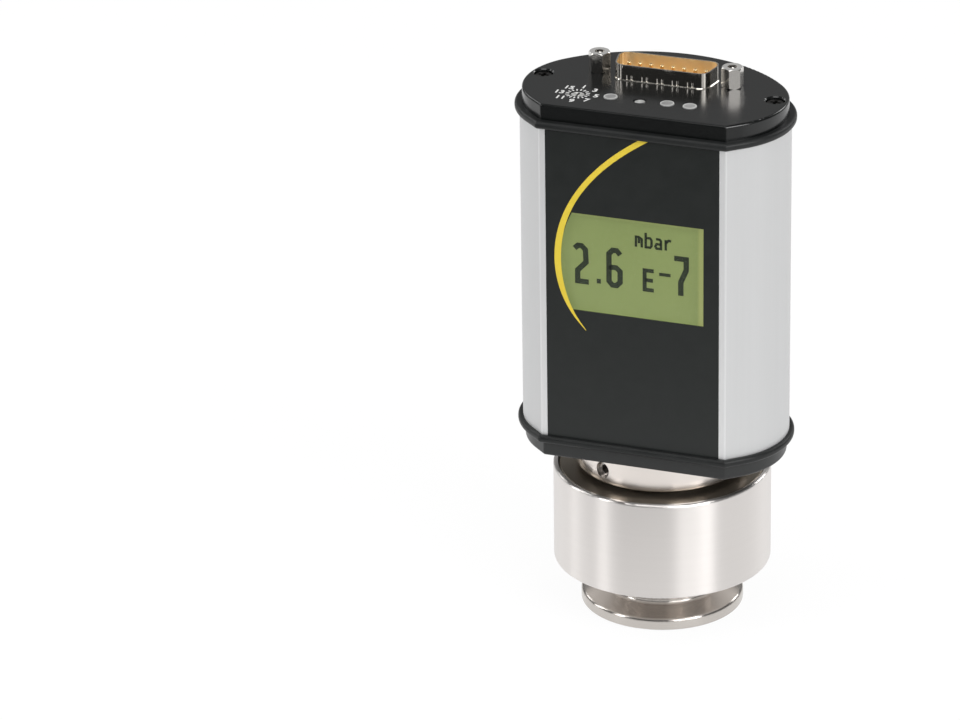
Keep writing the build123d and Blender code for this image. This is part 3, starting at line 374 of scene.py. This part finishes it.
# Front film: printed polyester, fine matt grain, with a clear window over the
# display. Its only print is a plain yellow crescent along the window.
film_finish = finish("printed_front_film", (0.0085, 0.0105, 0.0098), (0.0115, 0.0135, 0.0128), 0.34, 0.08,
                     (0.18, 0.18, 0.18), 0.004, Specular_IOR_Level=0.4)
dress(film_finish, "front_film")

film_face = -22.6
ink_yellow = finish("yellow_ink", (0.61, 0.455, 0.03), (0.66, 0.505, 0.042), 0.32, 0.08,
                    (0.18, 0.18, 0.18), 0.003, Specular_IOR_Level=0.4)
crescent_outer = [(1.90, 130.29), (-1.27, 128.14), (-4.30, 125.80), (-7.17, 123.26), (-9.85, 120.53),
                  (-12.31, 117.60), (-14.51, 114.47), (-16.38, 111.13), (-17.87, 107.61), (-18.92, 103.93),
                  (-19.49, 100.14), (-19.57, 96.32), (-19.11, 92.52), (-18.11, 88.83), (-16.52, 85.35),
                  (-14.38, 82.18), (-11.74, 79.42)]
crescent_inner = [(4.36, 130.29), (1.18, 128.20), (-1.90, 125.96), (-4.84, 123.54), (-7.62, 120.94),
                  (-10.18, 118.13), (-12.49, 115.10), (-14.46, 111.85), (-16.04, 108.38), (-17.15, 104.74),
                  (-17.78, 100.99), (-17.96, 97.19), (-17.69, 93.39), (-16.97, 89.66), (-15.77, 86.05),
                  (-14.06, 82.65), (-11.66, 79.56)]


def line_of_edges(path, depth):
    """In edit mode, a row of edges through corners given as x and z in mm, at a depth y in mm."""
    corners = [Vector((x, depth, z)) / 1000 for x, z in path]
    bpy.ops.mesh.select_all(action="DESELECT")
    bpy.ops.mesh.primitive_plane_add(size=0.0001, location=corners[0])
    bpy.ops.mesh.merge(type="CENTER")
    for here, there in zip(corners, corners[1:]):
        bpy.ops.mesh.extrude_vertices_move(TRANSFORM_OT_translate={"value": there - here})


def empty_piece(name):
    """A primitive cleared in edit mode, left open for its edges to be drawn."""
    bpy.ops.object.select_all(action="DESELECT")
    bpy.ops.mesh.primitive_plane_add(size=0.001)
    piece = bpy.context.object
    piece.name = name
    bpy.ops.object.mode_set(mode="EDIT")
    bpy.ops.mesh.select_all(action="SELECT")
    bpy.ops.mesh.delete(type="VERT")
    return piece


def apply_all(piece):
    """Applies a piece's modifiers in their order."""
    bpy.ops.object.select_all(action="DESELECT")
    piece.select_set(True)
    bpy.context.view_layer.objects.active = piece
    for modifier in list(piece.modifiers):
        bpy.ops.object.modifier_apply(modifier=modifier.name)


crescent = empty_piece("film_crescent")
line_of_edges(crescent_outer, film_face)
line_of_edges(crescent_inner, film_face)
bpy.ops.mesh.select_all(action="SELECT")
bpy.ops.mesh.bridge_edge_loops()
bpy.ops.mesh.select_all(action="SELECT")
bpy.ops.mesh.normals_make_consistent(inside=False)
bpy.ops.object.mode_set(mode="OBJECT")
smooth = crescent.modifiers.new("smooth", "SUBSURF")
smooth.levels = smooth.render_levels = 3
smooth.boundary_smooth = "PRESERVE_CORNERS"
ink = crescent.modifiers.new("ink", "SOLIDIFY")
ink.thickness = 0.00003
ink.offset = 0
apply_all(crescent)
crescent.data.materials.append(ink_yellow)
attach(crescent, "housing")

# Display: a clear pane behind the film, a lit liquid crystal cell and its
# backlight. The cell shows a reading in dark figures and its unit above.
pane_finish = finish("clear_window_pane", (0.93, 0.95, 0.93), (0.96, 0.97, 0.96), 0.02, 0.02,
                     (0.8, 0.8, 0.8), 0.0, Transmission_Weight=1.0, IOR=1.3)
nodes, links = pane_finish.node_tree.nodes, pane_finish.node_tree.links
rays = nodes.new("ShaderNodeLightPath")
through = nodes.new("ShaderNodeBsdfTransparent")
lit_through = nodes.new("ShaderNodeMixShader")
links.new(rays.outputs["Is Shadow Ray"], lit_through.inputs["Fac"])
links.new(nodes["Principled BSDF"].outputs[0], lit_through.inputs[1])
links.new(through.outputs[0], lit_through.inputs[2])
links.new(lit_through.outputs[0], nodes["Material Output"].inputs["Surface"])
dress(pane_finish, "display_pane")

cell_green = finish("lit_display_green", (0.066, 0.08, 0.029), (0.07, 0.085, 0.032), 0.3, 0.1,
                    (0.9, 0.9, 0.9), 0.0, Emission_Strength=2.6, Specular_IOR_Level=0.1)
lit_edge = calculate(cell_green, "MAXIMUM", zone(cell_green, "X", 15.7, 16.5),
                     zone(cell_green, "Z", 108.2, 108.8, most=0.4))
cell_colour = recolour(cell_green, lit_edge, (0.1, 0.11, 0.041))
cell_green.node_tree.links.new(cell_colour,
                               cell_green.node_tree.nodes["Principled BSDF"].inputs["Emission Color"])
dress(cell_green, "display_cell")
backlight_finish = finish("backlight_white", (0.7, 0.72, 0.62), (0.76, 0.78, 0.68), 0.4, 0.1,
                          (1.0, 1.0, 1.0), 0.002)
dress(backlight_finish, "backlight")

cell_face = -20.6
seen_deeper = Vector((-0.49, -0.70))
figure_ink = finish("display_figure_grey", (0.019, 0.026, 0.014), (0.024, 0.031, 0.018), 0.4, 0.1,
                    (0.5, 0.5, 0.5), 0.0, Specular_IOR_Level=0.1)


def figure(name, strokes, width):
    """Dark figure on the display cell, drawn as flat strokes through corners in mm."""
    piece = empty_piece(name)
    for path in strokes:
        line_of_edges([(x + seen_deeper.x, z + seen_deeper.y) for x, z in path], cell_face)
    bpy.ops.mesh.select_all(action="SELECT")
    bpy.ops.mesh.remove_doubles(threshold=0.00002)
    bpy.ops.mesh.select_all(action="SELECT")
    bpy.ops.mesh.extrude_edges_move(TRANSFORM_OT_translate={"value": (0, -0.00004, 0)})
    bpy.ops.object.mode_set(mode="OBJECT")
    wide = piece.modifiers.new("width", "SOLIDIFY")
    wide.thickness = width / 1000
    wide.offset = 0
    wide.use_even_offset = True
    apply_all(piece)
    bpy.ops.object.mode_set(mode="EDIT")
    bpy.ops.mesh.select_all(action="SELECT")
    bpy.ops.mesh.normals_make_consistent(inside=False)
    bpy.ops.object.mode_set(mode="OBJECT")
    piece.data.materials.append(figure_ink)
    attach(piece, "housing")


figure("figure_2", [[(-14.5, 100.5), (-13.6, 101.35), (-12.7, 101.35), (-11.75, 100.4), (-11.62, 97.2),
                     (-13.75, 94.9), (-13.75, 92.1), (-10.95, 92.1)]], 1.35)
figure("figure_point", [[(-8.95, 92.7), (-7.9, 92.7)]], 1.2)
figure("figure_6", [[(-3.0, 100.2), (-3.85, 101.2), (-4.9, 101.2), (-5.85, 100.2), (-5.85, 93.1), (-5.0, 92.15),
                     (-3.95, 92.15), (-3.05, 93.1), (-3.05, 95.9), (-4.0, 96.75), (-5.85, 96.75)]], 1.35)
figure("figure_E", [[(5.4, 97.1), (3.1, 97.1), (3.1, 92.1), (5.4, 92.1)], [(3.1, 94.6), (5.2, 94.6)]], 1.0)
figure("figure_minus", [[(6.75, 96.55), (9.6, 96.55)]], 0.85)
figure("figure_7", [[(10.5, 101.2), (13.5, 101.2), (13.5, 98.4), (12.15, 95.2), (12.15, 91.7)]], 1.35)
figure("figure_m", [[(0.95, 102.9), (0.95, 105.5), (1.7, 105.5), (2.4, 105.0), (2.4, 102.9)],
                    [(1.7, 105.3), (1.7, 103.9)]], 0.62)
figure("figure_b", [[(3.4, 106.8), (3.4, 103.1), (4.5, 103.1), (4.85, 103.6), (4.85, 105.0), (4.5, 105.5),
                     (3.4, 105.5)]], 0.62)
figure("figure_a", [[(5.95, 105.5), (6.9, 105.5), (7.2, 105.1), (7.2, 103.1), (6.1, 103.1), (5.8, 103.6),
                     (6.1, 104.25), (7.2, 104.25)]], 0.62)
figure("figure_r", [[(8.4, 102.9), (8.4, 105.6)], [(8.4, 104.7), (9.1, 105.5), (9.75, 105.4)]], 0.62)

# Connector: drawn shell of nickel plated steel, dull inside, a moulded insulator
# and gold plated pins, held by two hexagon jack screws with threads inside.
nickel = finish("nickel_plated_shell", (0.62, 0.59, 0.54), (0.68, 0.65, 0.6), 0.1, 0.04,
                (0.6, 0.6, 0.6), 0.0002, Metallic=1.0)
# Painted reflection: the inner back wall is painted tan for the insulator mirrored in it, and is made duller.
painted_reflection_back = calculate(nickel, "MULTIPLY", zone(nickel, "Y", 5.5, 6.8), zone(nickel, "Y", 7.42, 7.2))
recolour(nickel, painted_reflection_back, (0.95, 0.86, 0.67))
nodes = nickel.node_tree.nodes
dulled = calculate(nickel, "MULTIPLY_ADD", painted_reflection_back, 0.22, nodes["marks"].outputs["Roughness"])
nickel.node_tree.links.new(dulled, nodes["Principled BSDF"].inputs["Roughness"])
dress(nickel, "connector_shell")
# Painted glow: the insulator emits its own colour, standing in for light falling into the shell.
insulator_finish = finish("amber_insulator", (0.74, 0.5, 0.25), (0.82, 0.62, 0.36), 0.35, 0.1,
                          (0.8, 0.8, 0.8), 0.003, Emission_Strength=0.45)
links = insulator_finish.node_tree.links
nodes = insulator_finish.node_tree.nodes
links.new(nodes["marks"].outputs["Colour"], nodes["Principled BSDF"].inputs["Emission Color"])
dress(insulator_finish, "connector_insulator")
gold = finish("gold_plated_pin", (0.86, 0.64, 0.34), (0.9, 0.7, 0.4), 0.14, 0.1,
              (0.2, 0.2, 0.2), 0.001, Metallic=1.0)
dress(gold, "contact_pins_front", "contact_pins_rear")
jack_finish = finish("nickel_plated_screw", (0.58, 0.56, 0.53), (0.64, 0.62, 0.59), 0.14, 0.05,
                     (0.5, 0.5, 0.5), 0.0002, Metallic=1.0)
# Painted highlight: the tops of the jack screws are painted lighter and less metallic, for the light they catch.
crown = zone(jack_finish, "Z", 140.95, 141.05)
recolour(jack_finish, crown, (0.66, 0.65, 0.63))
painted_highlight_metallic = calculate(jack_finish, "MULTIPLY_ADD", crown, -0.35, 1.0)
jack_finish.node_tree.links.new(painted_highlight_metallic, jack_finish.node_tree.nodes["Principled BSDF"].inputs["Metallic"])
dress(jack_finish, "jack_screw_left", "jack_screw_right", "jack_nut_left", "jack_nut_right")

# Threads of the jack screws: cut inside their bores, one helix each, for the
# locking screws of the plug.
thread_pitch, thread_low = 0.635, 137.25
bpy.ops.object.select_all(action="DESELECT")
bpy.ops.mesh.primitive_plane_add(size=0.0001, location=(0.00117, 0, 0))
thread = bpy.context.object
thread.name = "jack_thread_left"
bpy.ops.object.transform_apply(location=True, rotation=True, scale=True)
bpy.ops.object.mode_set(mode="EDIT")
bpy.ops.mesh.select_all(action="SELECT")
bpy.ops.mesh.merge(type="CENTER")
bpy.ops.mesh.extrude_vertices_move(TRANSFORM_OT_translate={"value": (-0.00021, 0, 0.00024)})
bpy.ops.mesh.extrude_vertices_move(TRANSFORM_OT_translate={"value": (0.00021, 0, 0.00024)})
bpy.ops.mesh.select_all(action="SELECT")
bpy.ops.mesh.edge_face_add()
bpy.ops.mesh.delete(type="ONLY_FACE")
bpy.ops.object.mode_set(mode="OBJECT")
helix = thread.modifiers.new("helix", "SCREW")
helix.screw_offset = thread_pitch / 1000
helix.iterations = 5
helix.steps = helix.render_steps = 36
apply_all(thread)
bpy.ops.object.mode_set(mode="EDIT")
bpy.ops.mesh.select_all(action="SELECT")
bpy.ops.mesh.fill_holes(sides=0)
bpy.ops.mesh.select_all(action="SELECT")
bpy.ops.mesh.normals_make_consistent(inside=False)
bpy.ops.object.mode_set(mode="OBJECT")
bpy.ops.object.shade_smooth_by_angle(angle=radians(30))
thread.data.materials.append(jack_finish)
thread.location = (-0.01665, 0.003, thread_low / 1000)
bpy.ops.object.transform_apply(location=True, rotation=True, scale=True)
bpy.ops.object.duplicate(linked=False)
thread_right = bpy.context.object
thread_right.name = "jack_thread_right"
thread_right.location = (0.0333, 0, 0)
bpy.ops.object.transform_apply(location=True, rotation=True, scale=True)
for piece in (thread, thread_right):
    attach(piece, "housing")

# Address switch: a turned rotor in a hole of the cap, its slot and pointer
# painted darker below the top face, a painted shade, with white marks round it and a number at every second one.
cap_top = 136.1
dial_x, dial_y = -16.7, -13.0
white_print = finish("white_print", (0.62, 0.62, 0.61), (0.7, 0.7, 0.69), 0.45, 0.1,
                     (0.2, 0.2, 0.2), 0.003)
for step in range(8):
    spot = radians(90 - 45 * step)
    bpy.ops.object.select_all(action="DESELECT")
    bpy.ops.object.text_add(location=(0, 0, 0))
    number = bpy.context.object
    number.name = f"dial_number_{2 * step + 1}"
    number.data.body = str(2 * step + 1)
    number.data.size = 0.0026
    number.data.align_x = "CENTER"
    number.data.align_y = "CENTER"
    number.data.offset = 0.00008
    number.data.resolution_u = 8
    number.data.extrude = 0.00001
    bpy.ops.object.convert(target="MESH")
    number.location = ((dial_x + 4.6 * cos(spot)) / 1000, (dial_y + 4.6 * sin(spot)) / 1000,
                       (cap_top + 0.005) / 1000)
    bpy.ops.object.transform_apply(location=True, rotation=True, scale=True)
    number.data.materials.append(white_print)
    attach(number, "housing")

bpy.ops.object.select_all(action="DESELECT")
bpy.ops.mesh.primitive_plane_add(size=0.0009, location=((dial_x + 2.5) / 1000, dial_y / 1000, cap_top / 1000))
ticks = bpy.context.object
ticks.name = "dial_marks"
bpy.ops.object.transform_apply(location=True, rotation=True, scale=True)
bpy.ops.object.mode_set(mode="EDIT")
bpy.ops.mesh.select_all(action="SELECT")
bpy.ops.transform.resize(value=(1, 0.4, 1), center_override=((dial_x + 2.5) / 1000, dial_y / 1000, cap_top / 1000))
bpy.ops.mesh.extrude_region_move(TRANSFORM_OT_translate={"value": (0, 0, 0.00002)})
bpy.ops.mesh.select_all(action="SELECT")
bpy.ops.mesh.spin(steps=16, angle=2 * pi, center=(dial_x / 1000, dial_y / 1000, cap_top / 1000),
                  axis=(0, 0, 1), dupli=True)
bpy.ops.mesh.select_all(action="SELECT")
bpy.ops.mesh.remove_doubles(threshold=0.000001)
bpy.ops.mesh.select_all(action="SELECT")
bpy.ops.mesh.normals_make_consistent(inside=False)
bpy.ops.object.mode_set(mode="OBJECT")
ticks.data.materials.append(white_print)
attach(ticks, "housing")
rotor_finish = finish("turned_rotor_metal", (0.9, 0.9, 0.88), (0.95, 0.95, 0.93), 0.5, 0.06,
                      (0.08, 1, 0.08), 0.0006, turned=True, centre=(-0.0167, -0.013, 0), Metallic=1.0,
                      Anisotropic=0.85)
# Painted shade: the rotor is painted darker below its top face, in its slot.
recolour(rotor_finish, zone(rotor_finish, "Z", 135.88, 135.8), (0.25, 0.25, 0.24))
dress(rotor_finish, "address_rotor")
button_finish = finish("turned_button_metal", (0.9, 0.9, 0.88), (0.95, 0.95, 0.93), 0.5, 0.06,
                       (0.08, 1, 0.08), 0.0006, turned=True, centre=(-0.0013, -0.0126, 0), Metallic=1.0,
                       Anisotropic=0.85)
dress(button_finish, "adjust_button")

# Light pipes: clear plastic rods with a frosted top, which scatters the lamp
# below. A thin lighter ring lies on each rim, a painted highlight.
frosted = finish("frosted_light_pipe", (0.15, 0.15, 0.148), (0.36, 0.36, 0.355), 0.3, 0.15,
                 (0.3, 0.3, 0.3), 0.02)
dress(frosted, "status_light_pipe", "setpoint_light_pipe_1", "setpoint_light_pipe_2")
# Painted highlight: a lighter flat ring laid on the rim of each pipe.
painted_rim_highlight = finish("painted_rim_highlight", (0.5, 0.5, 0.49), (0.6, 0.6, 0.59), 0.15, 0.05, (0.5, 0.5, 0.5), 0.001)
pipe_places = {"status": (-8.6, -12.6), "setpoint_1": (5.5, -12.6), "setpoint_2": (11.1, -12.6)}
pipe_radius, pipe_top = 1.7, 136.3
bpy.ops.object.select_all(action="DESELECT")
bpy.ops.mesh.primitive_circle_add(vertices=48, radius=(pipe_radius - 0.32) / 1000,
                                  location=(0, 0, (pipe_top + 0.01) / 1000))
rim = bpy.context.object
bpy.ops.object.transform_apply(location=True, rotation=True, scale=True)
bpy.ops.object.mode_set(mode="EDIT")
bpy.ops.mesh.select_all(action="SELECT")
bpy.ops.mesh.extrude_edges_move()
bpy.ops.transform.resize(value=(1.18, 1.18, 1), center_override=(0, 0, pipe_top / 1000))
bpy.ops.mesh.select_all(action="SELECT")
bpy.ops.mesh.normals_make_consistent(inside=False)
bpy.ops.object.mode_set(mode="OBJECT")
thick = rim.modifiers.new("thickness", "SOLIDIFY")
thick.thickness = 0.00003
thick.offset = 0
apply_all(rim)
rim.data.materials.append(painted_rim_highlight)
for label, (x, y) in pipe_places.items():
    bpy.ops.object.select_all(action="DESELECT")
    rim.select_set(True)
    bpy.context.view_layer.objects.active = rim
    bpy.ops.object.duplicate(linked=False)
    copy = bpy.context.object
    copy.name = f"{label}_pipe_rim"
    copy.location = (x / 1000, y / 1000, 0)
    bpy.ops.object.transform_apply(location=True, rotation=True, scale=True)
    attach(copy, "housing")
bpy.data.objects.remove(rim)

# Inside the housing: boards with their parts, and the switches' bodies.
board_finish = finish("green_circuit_board", (0.012, 0.075, 0.03), (0.02, 0.12, 0.05), 0.3, 0.15,
                      (2.0, 2.0, 0.4), 0.01)
dress(board_finish, "main_board", "power_board", "connector_board", "sensor_board")
dark_part = finish("black_moulded_part", (0.014, 0.014, 0.015), (0.022, 0.022, 0.023), 0.4, 0.15,
                   (0.3, 0.3, 0.3), 0.006)
dress(dark_part, "voltage_module", "upper_board_link", "lower_board_link", "address_switch_body",
      "adjust_switch_body")
relay_finish = finish("cream_relay_case", (0.6, 0.55, 0.4), (0.68, 0.63, 0.48), 0.35, 0.1,
                      (0.5, 0.5, 0.5), 0.003)
dress(relay_finish, "relay_1", "relay_2")
lamp_finish = finish("white_lamp_body", (0.7, 0.7, 0.66), (0.78, 0.78, 0.74), 0.35, 0.1,
                     (0.4, 0.4, 0.4), 0.003)
dress(lamp_finish, "indicator_lamps")

# Vacuum side: header with its glass seals, ceramic bush, anode, wire gauge
# and the perforated plate that is seen up the bore.
socket_finish = finish("white_socket", (0.62, 0.6, 0.55), (0.7, 0.68, 0.63), 0.4, 0.1,
                       (0.4, 0.4, 0.4), 0.003)
dress(socket_finish, "sensor_socket")
ceramic = finish("white_ceramic", (0.72, 0.7, 0.66), (0.8, 0.78, 0.74), 0.3, 0.1,
                 (0.3, 0.3, 0.3), 0.002)
dress(ceramic, "anode_bush", "pin_seals")
chamber_steel = finish("chamber_stainless", (0.42, 0.4, 0.37), (0.52, 0.5, 0.47), 0.25, 0.15,
                       (0.3, 0.3, 0.3), 0.002, Metallic=1.0)
dress(chamber_steel, "header", "anode", "cathode_plate", "filament_tube", "filament", "filament_pins")
